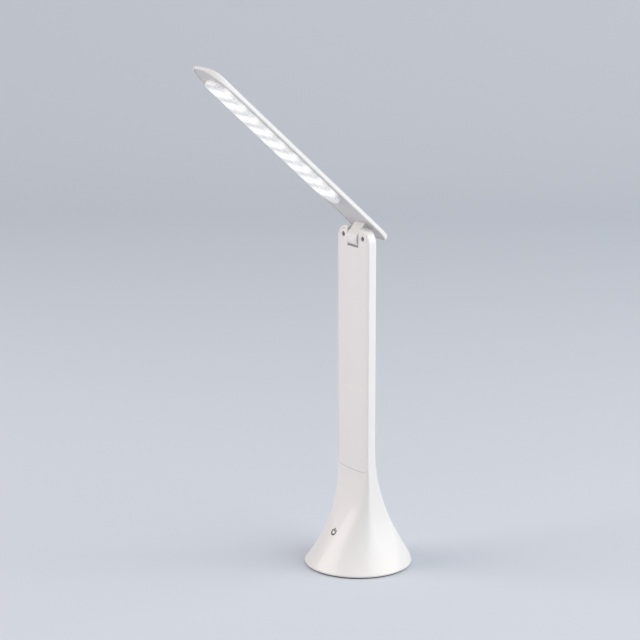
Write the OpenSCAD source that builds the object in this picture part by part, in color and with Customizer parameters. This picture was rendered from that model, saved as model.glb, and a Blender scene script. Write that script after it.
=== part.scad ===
// Cordless folding LED desk lamp: a trumpet foot that holds the battery, a slim upright stem
// and a long flat head on a friction hinge.
// X runs across the stem, -Y is the front, towards which the head folds, and +Z is up.
// The origin is the centre of the foot's flat underside. All sizes are in millimetres.

/* [Foot] */
// Diameter of the foot's rim
foot_d = 95; // [92:1:100]
// Height of the foot's widest line above the table
rim_z = 2.5; // [2.4:0.1:3]
// Thickness of the foot's wall, measured level
foot_wall = 2.4; // [2:0.1:2.8]
// Height at which the neck of the foot takes over from the stem
neck_top = 112; // [108:1:116]
// Thickness of the anti-slip pad
pad_t = 1.2; // [1:0.1:1.6]

/* [Stem] */
// Width of the stem
stem_w = 46.8; // [45:0.2:48]
// Depth of the stem, front to back
stem_d = 8.9; // [8.7:0.1:9.6]
// How far the stem stands in front of the foot's centre
stem_forward = 2.5; // [2:0.1:3]
// Height of the lamp with the head folded down
stem_top = 304; // [302:0.5:310]
// Radius of the stem's top corners, seen from the front
shoulder_r = 12; // [9:0.5:14]
// Rounding of the stem's long edges
edge_r = 1.6; // [1:0.1:2]
// Height of the parting line between the front cover and the foot
seam_z = 88.5; // [86:0.5:92]
// How far the parting line bows down in the middle
seam_bow = 1.5; // [0.5:0.1:2.5]
// Depth of the finger recess in the front cover
recess_depth = 1; // [0.6:0.1:1.2]
// Lowest edge of the finger recess
recess_low = 161; // [150:1:180]
// Height at which the finger recess runs out
recess_high = 276; // [260:1:280]

/* [Hinge] */
// Height of the hinge axis
axis_z = 294; // [293:0.5:295]
// Radius of the tongue's round end, which stands proud of the stem at the front and back
knuckle_r = 6.6; // [6.2:0.1:6.8]
// Width of the notch in the stem
notch_w = 16.2; // [15:0.2:18]
// Width of the tongue
tongue_w = 14.8; // [13.6:0.1:14.8]
// Radius of the hinge pin
pin_r = 1.25; // [1:0.05:1.4]
// Clearance round the pin in the tongue
pin_gap = 0.05; // [0.02:0.01:0.1]
// Slope of the head above level, as it stands in use
head_slope = 42; // [0:1:60]

/* [Head] */
// Width of the head
head_w = 44.2; // [43:0.2:45]
// Hinge axis to the tip of the head
head_reach = 223; // [218:0.5:225]
// Hinge axis to the head's short end
head_tail = 17; // [16.6:0.1:18]
// Hinge axis to the head's flat underside
head_offset = 11.4; // [11.3:0.1:13]
// Height of the head's side wall
side_h = 2.7; // [2.4:0.1:3.2]
// Height of the head at its crown
crown_h = 8.1; // [7.8:0.1:9]

/* [Light] */
// Pairs of lights along the head
led_pairs = 9; // [8:1:9]
// Distance between pairs
led_pitch = 17.1; // [16.6:0.1:17.2]
// Hinge axis to the first pair
led_first = 55.8; // [55:0.1:57]
// Distance of each row from the centre line
led_row = 4.6; // [4.4:0.1:4.8]
// Hinge axis to the near end of the lens
lens_from = 38.5; // [37:0.5:40]
// Hinge axis to the far end of the lens
lens_to = 206.5; // [205:0.5:207]
// Width of the lens
lens_w = 28; // [26:0.5:29]
// How far the lens stands out of the head
lens_proud = 2.8; // [2:0.1:3.5]

/* [Hidden] */
$fn = 48;

white = [0.94, 0.94, 0.93];
under_grey = [0.86, 0.86, 0.86];
dark = [0.12, 0.12, 0.13];
steel = [0.7, 0.71, 0.73];
board_white = [0.9, 0.91, 0.9];
wire_grey = [0.55, 0.55, 0.57];

cut = 0.5; // how far a cutting shape runs past the face it opens

// Foot
foot_r = foot_d / 2;
front_y = -stem_forward - stem_d / 2;
back_y = -stem_forward + stem_d / 2;
// A profile of the flare: [reach at the neck, height where it starts, length of its straight run,
// reach and height of the point that pulls it out to the rim]
front_flare = [-front_y, seam_z + 1.5, 30.5, 22.5, 35.4];
back_flare = [back_y, neck_top, 63.3, 36.6, 19];
side_flare = [stem_w / 2, neck_top, 40.4, 23.5, 30.2];
front_roundness = 2.2; // how soon the section's front corners turn into a circle's
back_roundness = 2.8; // how late the back corners do
round_limit = 0.985;
corner_steps = 14;
outer_levels = 22;
inner_levels = 12;
bond = 0.04; // the neck's top edge stands this much inside the stem
bond_h = 0.6; // and the stem reaches down over it by this much
neck_growth = [1.6, 0.6, -0.4]; // how much the [side, front, back] walls grow towards the neck
plate_gap = 0.2;
rim_lip = 3.4;
plate_t = 2;
plate_r = foot_r - rim_lip - plate_gap;
plate_top = pad_t + plate_t;
boss_ring_r = 35.5;
boss_r = 3;
boss_hole = 7;
boss_top = 13.8;
boss_turns = [90, 210, 330];
screw_hole_r = 0.9;

// Foot's inside
ballast_r = 28;
ballast_t = 6;
ballast_top = plate_top + ballast_t;
cradle_w = 33.6;
cradle_l = 47.6;
cradle_wall = 1.6;
cradle_y = 3.8;
cradle_top = ballast_top + 11.6;
battery_t = 9;
board_t = 1.4;
board_w = 32;
board_front = -16;
board_back = 28;
board_top = cradle_top + board_t;
port_w = 9;
port_h = 3.3;
port_depth = 9;
port_back = 29.2;
leaf_w = 6;
leaf_t = 0.4;

// Stem
wall = 1.8;
cover_t = 2;
cover_back = front_y + cover_t;
lip = 2.3;
cover_gap = 0.12;
cover_half_w = stem_w / 2 - lip;
channel_half_w = 19.2;
channel_back = back_y - wall;
floor_t = 2;
knuckle_gap = 0.6;
notch_floor = axis_z - knuckle_r - knuckle_gap;
screw_x = 14.4;
screw_z = axis_z + 1.7;
head_hole_r = 2.2;
boss_wall = 0.9;
boss_depth = 4;
boss_floor_t = 0.9;
lead_hole_y = back_y - 1.7;
lead_hole_r = 1;

// Hinge
pin_half = 11;
washer_t = 0.55;
washer_r = 3.8;
neck_tail = 3;
flange_low = 3;
flange_top = 4.6;
flange_w = 24;
flange_front = 14;
flange_rear = 6;
tongue_screw_x = 9.8;
tongue_screw_y = [-10.5, 2.6];
tongue_screw_l = 2.8;
wire_r = 1;

// Head
tip_corner = [17.5, 39.6]; // each corner is a quarter of an ellipse: [across, along] the head
tail_corner = [10.7, 19.8];
lens_tip_corner = [13.98, 9];
lens_tail_corner = [13.98, 18];
rim_w = 1.5;
ledge_w = 1.2;
skin = 1.5;
under_t = 1.6;
under_gap = 0.1;
under_drop = 0.6; // how far the under cover sits inside the rim
tip_run = 28.7;
tail_run = 25;
lens_wall = 1.2;
flange_out = 1.2;
lens_flange_t = 1;
board_low = under_t + lens_flange_t;
led_board_t = 1.2;
board_high = board_low + led_board_t;
reflector_low = 0.4;
cup_mouth_r = 3.8;
cup_floor_r = 2.6;
led_base_r = 2.3;
led_dome_r = 1.9;
led_base_h = 0.8;
board_screw_spots = [0.5, 3.5, 7.5];
board_screw_l = 2.8;
fine_screw_r = 0.8;
head_boss_r = 2.2;
terminal_y = -(lens_from + 9);

// ---------- shared shapes ----------

function bezier(a, b, c, d, t) =
    pow(1 - t, 3) * a + 3 * t * pow(1 - t, 2) * b + 3 * t * t * (1 - t) * c + pow(t, 3) * d;

function flare_z(f, t) = bezier(f[1], f[1] - f[2], f[4], rim_z, t);

function flare_r(f, t) = bezier(f[0], f[0], f[3], foot_r, t);

// Halves the interval until the curve's height is z
function flare_t(f, z, low = 0, high = 1, n = 18) =
    let (mid = (low + high) / 2)
    n == 0 ? mid : flare_z(f, mid) > z ? flare_t(f, z, mid, high, n - 1) : flare_t(f, z, low, mid, n - 1);

function reach(f, z) = z >= f[1] ? f[0] : z <= rim_z ? foot_r : flare_r(f, flare_t(f, z));

// One level section of the foot: a bar with rounded corners at the neck, a circle at the rim.
// "inset" draws it in at the [side, front, back], and "at" is the height it is placed at.
function foot_ring(z, inset = [0, 0, 0], at = undef) =
    let (
        half_w = reach(side_flare, z) - inset[0],
        front = reach(front_flare, z) - inset[1],
        back = reach(back_flare, z) - inset[2],
        middle = (back - front) / 2,
        half_d = (back + front) / 2,
        drop = max(0, neck_top - z) / (neck_top - rim_z),
        front_drop = max(0, front_flare[1] - z) / (front_flare[1] - rim_z)
    )
    [for (corner = [0:3]) for (i = [0:corner_steps])
        let (
            angle = 90 * (corner + i / corner_steps),
            sx = (corner == 0 || corner == 3) ? 1 : -1,
            sy = corner < 2 ? 1 : -1,
            back_turn = pow(drop, back_roundness),
            front_turn = 1 - pow(1 - front_drop, front_roundness),
            turn = min(round_limit, sy > 0 ? back_turn : front_turn),
            edge = max(edge_r / 2, edge_r - inset[0]),
            rx = edge * (1 - turn) + half_w * turn,
            ry = edge * (1 - turn) + half_d * turn
        )
        [
            sx * (half_w - rx) + rx * cos(angle),
            middle + sy * (half_d - ry) + ry * sin(angle),
            is_undef(at) ? z : at
        ]];

// Skins a closed chain of rings, each with n points, into one solid
module ring_chain(rings) {
    n = len(rings[0]);
    m = len(rings);
    points = [for (ring = rings) each ring];
    faces = [for (k = [0:m - 1]) for (i = [0:n - 1])
        let (
            a = k * n + i,
            b = k * n + (i + 1) % n,
            c = ((k + 1) % m) * n + (i + 1) % n,
            d = ((k + 1) % m) * n + i
        )
        each [[a, d, c], [a, c, b]]];
    polyhedron(points = points, faces = faces, convexity = 6);
}

module along_y(y0, y1) {
    translate([0, y1, 0]) rotate([90, 0, 0]) linear_extrude(y1 - y0) children();
}

module along_x(x0, x1) {
    translate([x0, 0, 0]) rotate([90, 0, 90]) linear_extrude(x1 - x0) children();
}

// Bar from low to high with round top corners
module arch(half_w, low, high, r) {
    translate([-half_w, low]) square([2 * half_w, high - low - r]);
    translate([r - half_w, low]) square([2 * (half_w - r), high - low]);
    for (s = [-1, 1]) translate([s * (half_w - r), high - r]) circle(r);
}

// Plate outline from y0 to y1 with its own corner radius at each end
module plate(w, y0, y1, r0, r1) {
    translate([-w / 2, y0 + r0]) square([w, y1 - y0 - r0 - r1]);
    translate([r0 - w / 2, y0]) square([w - 2 * r0, r0 + 1]);
    translate([r1 - w / 2, y1 - r1 - 1]) square([w - 2 * r1, r1 + 1]);
    for (s = [-1, 1]) {
        translate([s * (w / 2 - r0), y0 + r0]) circle(r0);
        translate([s * (w / 2 - r1), y1 - r1]) circle(r1);
    }
}

// Long outline from y0 to y1 with elliptical corners, drawn in by "inset" all round
function head_outline(w, y0, y1, tip, tail, inset = 0) =
    [for (corner = [0:3]) for (i = [0:corner_steps])
        let (
            angle = 90 * (corner + i / corner_steps),
            sx = (corner == 0 || corner == 3) ? 1 : -1,
            to_tail = corner < 2,
            rx = (to_tail ? tail[0] : tip[0]) - inset,
            ry = (to_tail ? tail[1] : tip[1]) - inset,
            middle_y = to_tail ? y1 - inset - ry : y0 + inset + ry
        )
        [sx * (w / 2 - inset - rx) + rx * cos(angle), middle_y + ry * sin(angle)]];

module head_area(inset) {
    polygon(head_outline(head_w, -head_reach, head_tail, tip_corner, tail_corner, inset));
}

// The lens's outline, drawn in by "inset"
module lens_area(inset) {
    polygon(head_outline(lens_w, -lens_to, -lens_from, lens_tip_corner, lens_tail_corner, inset));
}

module screw(length, shank_r, head_r, head_h) {
    translate([0, 0, -length]) cylinder(r = shank_r, h = length);
    difference() {
        cylinder(r = head_r, h = head_h);
        for (a = [0, 90]) rotate([0, 0, a])
            translate([-head_r * 0.6, -0.2, head_h * 0.5]) cube([head_r * 1.2, 0.4, head_h]);
    }
}

// Lays its children in the head's own frame: -Y to the tip, +Z out of the head's top
module on_head() {
    translate([0, -stem_forward, axis_z]) rotate([-head_slope, 0, 0]) children();
}

// ---------- foot ----------

// Foot, sides and back of the stem are one moulding
module stand_shell() {
    color(white) {
        foot_part();
        stem_part();
    }
}

module foot_part() {
    flush = [0, 0, 0];
    bond_in = [bond, bond, bond];
    lip_in = [rim_lip, rim_lip, rim_lip];
    outer = concat(
        [foot_ring(rim_z, [0.4, 0.4, 0.4], pad_t)],
        [for (i = [0:outer_levels])
            let (z = rim_z + (neck_top - rim_z) * pow(i / outer_levels, 1.25))
            foot_ring(z, i < outer_levels ? flush : bond_in)]);
    inner = concat(
        [for (i = [inner_levels:-1:0])
            let (
                z = plate_top + 3 + (neck_top - plate_top - 3) * pow(i / inner_levels, 1.25),
                high = (z - rim_z) / (neck_top - rim_z)
            )
            foot_ring(z, [for (k = [0:2]) foot_wall + neck_growth[k] * high])],
        [for (z = [plate_top + 0.1, pad_t]) foot_ring(rim_z, lip_in, z)]);
    difference() {
        union() {
            ring_chain(concat(outer, inner));
            at_bosses() translate([0, 0, plate_top]) cylinder(r = boss_r, h = boss_top - plate_top);
        }
        at_bosses() translate([0, 0, plate_top - cut]) cylinder(r = screw_hole_r, h = boss_hole);
        along_y(front_y - cut, cover_back) difference() {
            translate([-cover_half_w, seam_z - seam_bow])
                square([2 * cover_half_w, neck_top - seam_z + seam_bow + cut]);
            seam_below(0);
        }
        translate([0.5 - channel_half_w, front_y - cut, seam_z + 1.5])
            cube([2 * channel_half_w - 1, cut - front_y - stem_forward - 1, neck_top]);
        translate([0, port_back - port_depth, board_top + port_h / 2 + 0.2])
            along_y(0, 20) slot(port_w / 2 + 0.25, port_h / 2 + 0.25);
    }
}

module at_bosses() {
    for (a = boss_turns) rotate([0, 0, a]) translate([boss_ring_r, 0, 0]) children();
}

// The bowed edge where the front cover meets the foot, as the area below it
module seam_below(lift) {
    bow_r = (pow(cover_half_w, 2) + pow(seam_bow, 2)) / (2 * seam_bow);
    difference() {
        translate([-cover_half_w - 1, seam_z - seam_bow - 1])
            square([2 * cover_half_w + 2, seam_bow + 1 + lift]);
        translate([0, seam_z - seam_bow + bow_r + lift]) circle(bow_r, $fn = 180);
    }
}

module slot(half_w, r) {
    translate([r - half_w, -r]) square([2 * (half_w - r), 2 * r]);
    for (s = [-1, 1]) translate([s * (half_w - r), 0]) circle(r);
}

module base_plate() {
    color(white) difference() {
        translate([0, 0, pad_t]) cylinder(r = plate_r, h = plate_t, $fn = 96);
        at_bosses() translate([0, 0, pad_t - cut]) {
            cylinder(r = 1.4, h = plate_t + 2 * cut);
            cylinder(r = 2.8, h = 1 + cut);
        }
    }
}

module anti_slip_pad() {
    color(dark) cylinder(r = foot_r - 1.8, h = pad_t, $fn = 96);
}

module ballast_weight() {
    color(steel) translate([0, 0, plate_top]) cylinder(r = ballast_r, h = ballast_t);
}

module battery_cradle() {
    color(white) difference() {
        translate([-cradle_w / 2, cradle_y - cradle_l / 2, ballast_top])
            cube([cradle_w, cradle_l, cradle_top - ballast_top]);
        translate([cradle_wall - cradle_w / 2, cradle_y - cradle_l / 2 + cradle_wall, ballast_top + 1.2])
            cube([cradle_w - 2 * cradle_wall, cradle_l - 2 * cradle_wall, cradle_top]);
    }
}

module battery_pack() {
    w = cradle_w - 2 * cradle_wall - 0.4;
    l = cradle_l - 2 * cradle_wall - 0.4;
    color([0.25, 0.45, 0.75]) translate([0, cradle_y, ballast_top + 1.2]) linear_extrude(battery_t)
        plate(w, -l / 2, l / 2, 1.5, 1.5);
}

module control_board() {
    color([0.1, 0.4, 0.2]) translate([-board_w / 2, board_front, cradle_top])
        cube([board_w, board_back - board_front, board_t]);
    color(dark) translate([-4, 2, board_top]) cube([8, 6, 1.2]);
    color(dark) translate([-12, 10, board_top]) cube([5, 5, 3]);
    color(dark) translate([7, 8, board_top]) cube([4, 6, 2]);
}

module charging_socket() {
    color(steel) translate([0, port_back - port_depth, board_top + port_h / 2 + 0.2]) {
        difference() {
            along_y(0, port_depth) slot(port_w / 2, port_h / 2);
            along_y(1.5, port_depth + cut) slot(port_w / 2 - 0.4, port_h / 2 - 0.4);
        }
        translate([-3, 1, -0.35]) cube([6, port_depth - 2.2, 0.7]);
        translate([-3.5, 0, -port_h / 2 - 0.2]) cube([7, 5, 0.5]);
    }
}

// Sprung strip that carries the finger's touch from the foot's front wall to the board
module touch_leaf() {
    top_z = 40;
    top_y = -(reach(front_flare, top_z) - foot_wall) + 0.9;
    low_z = 31;
    low_y = -(reach(front_flare, low_z) - foot_wall) + 0.9;
    color("goldenrod") along_x(-leaf_w / 2, leaf_w / 2) polygon([
        [board_front + 5, board_top], [board_front + 5, board_top + leaf_t],
        [board_front + 1.4, board_top + leaf_t], [low_y + 0.5, low_z], [top_y + 0.3, top_z],
        [top_y - 0.1, top_z], [low_y, low_z - 0.2], [board_front + 0.9, board_top]]);
}

module base_screws() {
    color(steel) at_bosses() translate([0, 0, pad_t + 1]) rotate([180, 0, 0])
        screw(6.5, screw_hole_r, 2.4, 0.9);
}

// ---------- stem ----------

// Bar with one rounding carried up its long edges, round both shoulders and across the top
module stem_form() {
    shoulder_x = stem_w / 2 - shoulder_r;
    shoulder_z = stem_top - shoulder_r;
    translate([0, 0, neck_top - bond_h]) linear_extrude(shoulder_z - neck_top + bond_h)
        plate(stem_w, front_y, back_y, edge_r, edge_r);
    translate([0, -stem_forward, 0]) {
        along_x(-shoulder_x, shoulder_x) translate([0, shoulder_z]) shoulder_section();
        for (turn = [0, 180]) rotate([0, 0, turn]) translate([shoulder_x, 0, shoulder_z]) rotate([90, 0, 0])
            rotate_extrude(angle = 90, $fn = 96) rotate(-90) shoulder_section();
    }
}

// The stem's section from the shoulders' centre out to the rounded edge
module shoulder_section() {
    arch(stem_d / 2, 0, shoulder_r, edge_r);
}

module cover_area(gap) {
    arch(cover_half_w - gap, seam_z - seam_bow - 1, stem_top - lip - gap, shoulder_r - lip - gap);
}

module notch_area() {
    translate([-notch_w / 2, notch_floor]) square([notch_w, stem_top]);
}

module stem_part() {
    difference() {
        stem_form();
        along_y(front_y - cut, cover_back) cover_area(0);
        along_y(cover_back - cut, channel_back) translate([-channel_half_w, neck_top - 2])
            square([2 * channel_half_w, notch_floor - floor_t - neck_top + 2]);
        along_y(front_y - cut, back_y + cut) notch_area();
        for (s = [-1, 1]) {
            along_x(min(s * notch_w / 2, s * pin_half), max(s * notch_w / 2, s * pin_half)) pin_saddle();
            translate([s * screw_x, 0, screw_z]) screw_pocket();
        }
        translate([0, lead_hole_y, notch_floor - floor_t - cut])
            cylinder(r = lead_hole_r, h = floor_t + 2 * cut);
    }
}

// Round seat for the pin, open to the front so that the cover can close over it
module pin_saddle() {
    translate([-stem_forward, axis_z]) circle(pin_r);
    translate([cover_back - cut, axis_z - pin_r]) square([-stem_forward - cover_back + cut, 2 * pin_r]);
}

module screw_pocket() {
    along_y(cover_back - cut, front_y + boss_depth) circle(head_hole_r + boss_wall + 0.1);
    along_y(cover_back, back_y - 1) circle(screw_hole_r);
}

module stem_front_cover() {
    color(white) difference() {
        union() {
            along_y(front_y, cover_back) difference() {
                cover_area(cover_gap);
                seam_below(cover_gap);
            }
            for (s = [-1, 1]) {
                translate([s * screw_x, 0, screw_z]) along_y(cover_back - 0.1, front_y + boss_depth)
                    circle(head_hole_r + boss_wall);
                translate([s * (notch_w / 2 + pin_half) / 2 - 1, cover_back - 0.1, axis_z - 1])
                    cube([2, -stem_forward - pin_r - cover_back + 0.1, 2]);
            }
        }
        along_y(front_y - cut, front_y + boss_depth + cut) notch_area();
        for (s = [-1, 1]) translate([s * screw_x, 0, screw_z]) {
            along_y(front_y - cut, front_y + boss_depth - boss_floor_t) circle(head_hole_r);
            along_y(front_y, front_y + boss_depth + cut) circle(screw_hole_r + 0.3);
        }
        along_x(-stem_w / 2, stem_w / 2) finger_recess();
    }
}

// Wedge that starts flush at the top and ends in a small sloped ledge
module finger_recess() {
    polygon([
        [front_y, recess_high], [front_y + recess_depth, recess_low + recess_depth],
        [front_y, recess_low], [front_y - cut, recess_low], [front_y - cut, recess_high]]);
}

module cover_screws() {
    color(dark) for (s = [-1, 1])
        translate([s * screw_x, front_y + boss_depth - boss_floor_t, screw_z])
            rotate([90, 0, 0]) screw(4.6, screw_hole_r, 1.9, 1.1);
}

module stem_lead() {
    run_y = -stem_forward;
    color(wire_grey) {
        translate([0, run_y, board_top + 3]) cylinder(r = 1, h = notch_floor - floor_t - 4 - board_top - 3);
        translate([0, run_y, board_top + 3]) sphere(1);
        translate([0, run_y, board_top]) cylinder(r = 1.6, h = 3);
    }
}

// ---------- hinge ----------

module hinge_pin() {
    color(steel) translate([-pin_half, -stem_forward, axis_z]) rotate([0, 90, 0])
        cylinder(r = pin_r, h = 2 * pin_half);
}

module friction_washers() {
    color(steel) for (s = [-1, 1])
        translate([s * (tongue_w / 2 + 0.05 + washer_t / 2), -stem_forward, axis_z]) rotate([0, 90, 0])
            difference() {
                cylinder(r = washer_r, h = washer_t, center = true);
                cylinder(r = pin_r + pin_gap, h = 2 * washer_t, center = true);
            }
}

module hinge_tongue() {
    top = head_offset + flange_top;
    color(white) on_head() difference() {
        union() {
            rotate([0, 90, 0]) cylinder(r = knuckle_r, h = tongue_w, center = true);
            translate([-tongue_w / 2, -knuckle_r, 0]) cube([tongue_w, knuckle_r + neck_tail, top]);
            translate([0, 0, head_offset + flange_low]) linear_extrude(flange_top - flange_low)
                plate(flange_w, -flange_front, flange_rear, 2, 2);
        }
        rotate([0, 90, 0]) cylinder(r = pin_r + pin_gap, h = tongue_w + 2 * cut, center = true);
        at_tongue_screws() cylinder(r = 1.2, h = flange_top + cut);
        translate([0, 0, 7]) cylinder(r = wire_r, h = top);
        translate([0, 0, 7]) rotate([-90, 0, 0]) cylinder(r = wire_r, h = neck_tail + cut);
    }
}

module tongue_screws() {
    color(steel) on_head() at_tongue_screws() translate([0, 0, flange_low]) rotate([180, 0, 0])
        screw(tongue_screw_l, fine_screw_r, 1.8, 1.1);
}

// ---------- head ----------

// The head's outer form, drawn in by "inset" at the sides and by "drop" at the top
module head_form(inset, drop, low) {
    height = crown_h - drop;
    rise = crown_h - side_h;
    crown_r = (pow(head_w / 2, 2) + pow(rise, 2)) / (2 * rise);
    translate([0, 0, head_offset]) intersection() {
        translate([0, 0, low]) linear_extrude(height - low) head_area(inset);
        along_y(-head_reach - cut, head_tail + cut) translate([0, height - crown_r]) circle(crown_r, $fn = 180);
        along_x(-head_w, head_w) head_side_profile(height, rise);
    }
}

// Side view of the crown, rounded down towards both ends
module head_side_profile(height, rise) {
    tip_curve = (pow(tip_run, 2) + pow(rise, 2)) / (2 * rise);
    tail_curve = (pow(tail_run, 2) + pow(rise, 2)) / (2 * rise);
    translate([tip_run - head_reach, -1]) square([head_reach + head_tail - tip_run - tail_run, height + 1]);
    intersection() {
        translate([-head_reach - 1, -1]) square([tip_run + 2, height + 1]);
        translate([tip_run - head_reach, height - tip_curve]) circle(tip_curve, $fn = 180);
    }
    intersection() {
        translate([head_tail - tail_run - 1, -1]) square([tail_run + 2, height + 1]);
        translate([head_tail - tail_run, height - tail_curve]) circle(tail_curve, $fn = 180);
    }
}

module head_top_shell() {
    color(white) on_head() difference() {
        union() {
            difference() {
                head_form(0, 0, 0);
                translate([0, 0, head_offset - cut]) linear_extrude(under_t + cut) head_area(rim_w);
                head_form(rim_w + ledge_w, skin, under_t - 0.1);
            }
            intersection() {
                head_form(0, skin / 2, 0);
                union() {
                    at_tongue_screws() translate([0, 0, flange_top]) cylinder(r = head_boss_r, h = crown_h);
                    at_board_screws() translate([0, 0, board_high]) cylinder(r = head_boss_r, h = crown_h);
                }
            }
        }
        at_tongue_screws() translate([0, 0, flange_low]) cylinder(r = fine_screw_r, h = tongue_screw_l + 0.1);
        at_board_screws() translate([0, 0, board_low]) cylinder(r = fine_screw_r, h = board_screw_l + 0.1);
    }
}

module at_tongue_screws() {
    for (s = [-1, 1]) for (y = tongue_screw_y) translate([s * tongue_screw_x, y, head_offset]) children();
}

module at_board_screws() {
    for (i = board_screw_spots) translate([0, -(led_first + led_pitch * i), head_offset]) children();
}

module head_under_cover() {
    color(under_grey) on_head() translate([0, 0, head_offset]) difference() {
        translate([0, 0, under_drop]) linear_extrude(under_t - under_drop) head_area(rim_w + under_gap);
        translate([0, 0, -cut]) linear_extrude(under_t + 2 * cut) lens_area(-0.1);
        translate([-tongue_w / 2 - 0.4, -knuckle_r - 0.4, -cut])
            cube([tongue_w + 0.8, knuckle_r + neck_tail + 0.8, under_t + 2 * cut]);
    }
}

module led_lens() {
    color([0.95, 0.97, 1, 0.5]) on_head() translate([0, 0, head_offset]) difference() {
        union() {
            translate([0, 0, 0.9 - lens_proud]) linear_extrude(under_t + lens_proud - 0.9) lens_area(0);
            translate([0, 0, 0.35 - lens_proud]) linear_extrude(1) lens_area(0.3);
            translate([0, 0, -lens_proud]) linear_extrude(1) lens_area(0.9);
            translate([0, 0, under_t]) linear_extrude(lens_flange_t) lens_area(-flange_out);
        }
        translate([0, 0, lens_wall - lens_proud]) linear_extrude(lens_proud + board_low) lens_area(lens_wall);
    }
}

module at_each_led() {
    for (i = [0:led_pairs - 1]) for (s = [-1, 1])
        translate([s * led_row, -(led_first + led_pitch * i), head_offset]) children();
}

module reflector() {
    color(board_white) on_head() difference() {
        translate([0, 0, head_offset + reflector_low]) linear_extrude(board_low - reflector_low)
            lens_area(lens_wall + 0.2);
        at_each_led() translate([0, 0, reflector_low - 0.01])
            cylinder(r1 = cup_mouth_r, r2 = cup_floor_r, h = board_low - reflector_low + 0.02);
        at_board_screws() translate([0, 0, board_low - 1.1]) cylinder(r = 1.9, h = 2);
    }
}

module led_board() {
    color(board_white) on_head() {
        difference() {
            translate([0, 0, head_offset + board_low]) linear_extrude(led_board_t) lens_area(-0.5);
            at_board_screws() cylinder(r = 0.9, h = board_high + cut);
        }
        translate([-4, terminal_y, head_offset + board_high]) cube([8, 5, 2.2]);
    }
}

module board_screws() {
    color(steel) on_head() at_board_screws() translate([0, 0, board_low]) rotate([180, 0, 0])
        screw(board_screw_l, fine_screw_r, 1.6, 0.9);
}

module leds() {
    color([1, 1, 0.9]) on_head() at_each_led() translate([0, 0, board_low - led_base_h]) {
        cylinder(r = led_base_r, h = led_base_h);
        intersection() {
            sphere(led_dome_r);
            translate([0, 0, -led_dome_r]) cylinder(r = led_base_r, h = led_dome_r + led_base_h / 2);
        }
    }
}

module head_lead() {
    start_y = terminal_y + 5;
    color(wire_grey) on_head() translate([0, start_y, head_offset + flange_top + 0.7]) rotate([-90, 0, 0])
        cylinder(r = 0.6, h = -start_y - 1);
}

stand_shell();
base_plate();
anti_slip_pad();
ballast_weight();
battery_cradle();
battery_pack();
control_board();
charging_socket();
touch_leaf();
base_screws();
stem_front_cover();
cover_screws();
stem_lead();
hinge_pin();
friction_washers();
hinge_tongue();
tongue_screws();
head_top_shell();
head_under_cover();
led_lens();
reflector();
led_board();
board_screws();
leds();
head_lead();
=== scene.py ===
import math

import bmesh
import bpy
import numpy as np
from mathutils import Matrix, Vector


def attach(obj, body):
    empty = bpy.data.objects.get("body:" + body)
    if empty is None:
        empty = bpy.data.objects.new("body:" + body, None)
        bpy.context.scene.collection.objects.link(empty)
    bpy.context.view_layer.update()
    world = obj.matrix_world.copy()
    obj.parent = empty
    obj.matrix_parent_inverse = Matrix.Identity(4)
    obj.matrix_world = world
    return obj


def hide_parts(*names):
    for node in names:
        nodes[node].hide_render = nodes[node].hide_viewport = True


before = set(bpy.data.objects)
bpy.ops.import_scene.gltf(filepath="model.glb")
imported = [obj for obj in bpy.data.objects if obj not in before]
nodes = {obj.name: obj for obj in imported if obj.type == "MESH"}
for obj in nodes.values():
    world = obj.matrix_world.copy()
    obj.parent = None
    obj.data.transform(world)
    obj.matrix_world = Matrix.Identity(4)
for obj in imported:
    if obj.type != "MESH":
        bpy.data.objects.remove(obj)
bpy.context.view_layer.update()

# Lengths are in millimetres, in the CAD frame, and build() turns them into metres.
MM = 0.001
# How far a cutting solid stands past the face that it starts from: just through, or well clear.
CUT = 1.0
CLEAR = 5.0

# ---------- the stand's sizes ----------

FOOT_R = 47.5
RIM_Z = 2.5
PAD_T = 1.2
PLATE_TOP = 3.2
FOOT_WALL = 2.4
NECK_TOP = 112.0
# How much thicker the wall is at the neck than at the rim, at the (side, front, back).
NECK_GROWTH = (1.6, 0.6, -0.4)
# From the base plate's seat round the rim's lower edge: (inset, height).
RIM_PROFILE = ((3.4, PLATE_TOP + 0.1), (3.4, PAD_T), (0.55, PAD_T), (0.4, RIM_Z - 0.85),
               (0.12, RIM_Z - 0.45))

STEM_W = 46.8
STEM_D = 8.9
STEM_Y = -2.5
STEM_TOP = 304.0
SHOULDER_R = 12.0
SHOULDER_Z = STEM_TOP - SHOULDER_R
SHOULDER_RUN_IN = 6.0
EDGE_R = 1.6
SEAM_Z = 88.5
SEAM_BOW = 1.5
FRONT_Y = STEM_Y - STEM_D / 2
BACK_Y = STEM_Y + STEM_D / 2
STAND_BEVEL = 0.22

# The levels of the flare and of the cavity in it are closer together near the rim.
FLARE_TOP = SEAM_Z + 8
FLARE_STEPS = 46
FLARE_CROWDING = 1.15
NECK_LEVELS = (101.0, 106.0, NECK_TOP)
CAVITY_LOW = PLATE_TOP + 3
CAVITY_STEPS = 16
CAVITY_CROWDING = 0.8

# A flare's profile is a curve from the neck down to the rim: its reach at the neck, the height
# where it starts, the length of its straight pull there, and its other pull's reach and height.
FRONT_START = SEAM_Z + 1.5
FRONT_FLARE = (-FRONT_Y, FRONT_START, 30.5, 22.5, 35.4)
BACK_FLARE = (BACK_Y, NECK_TOP, 63.3, 36.6, 19.0)
SIDE_FLARE = (STEM_W / 2, NECK_TOP, 40.4, 23.5, 30.2)
FLARE_SAMPLES = 400
FRONT_ROUNDNESS = 2.2
BACK_ROUNDNESS = 2.8

CHANNEL_HALF_W = 19.2
CHANNEL_LOW = NECK_TOP - 4
CHANNEL_WALL = 1.8
CHANNEL_ROOF = 2.0

PORT_Z = 24.05
PORT_HALF_W = 4.75
PORT_HALF_H = 1.9
PORT_CUT = (20.0, 45.0)

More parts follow.
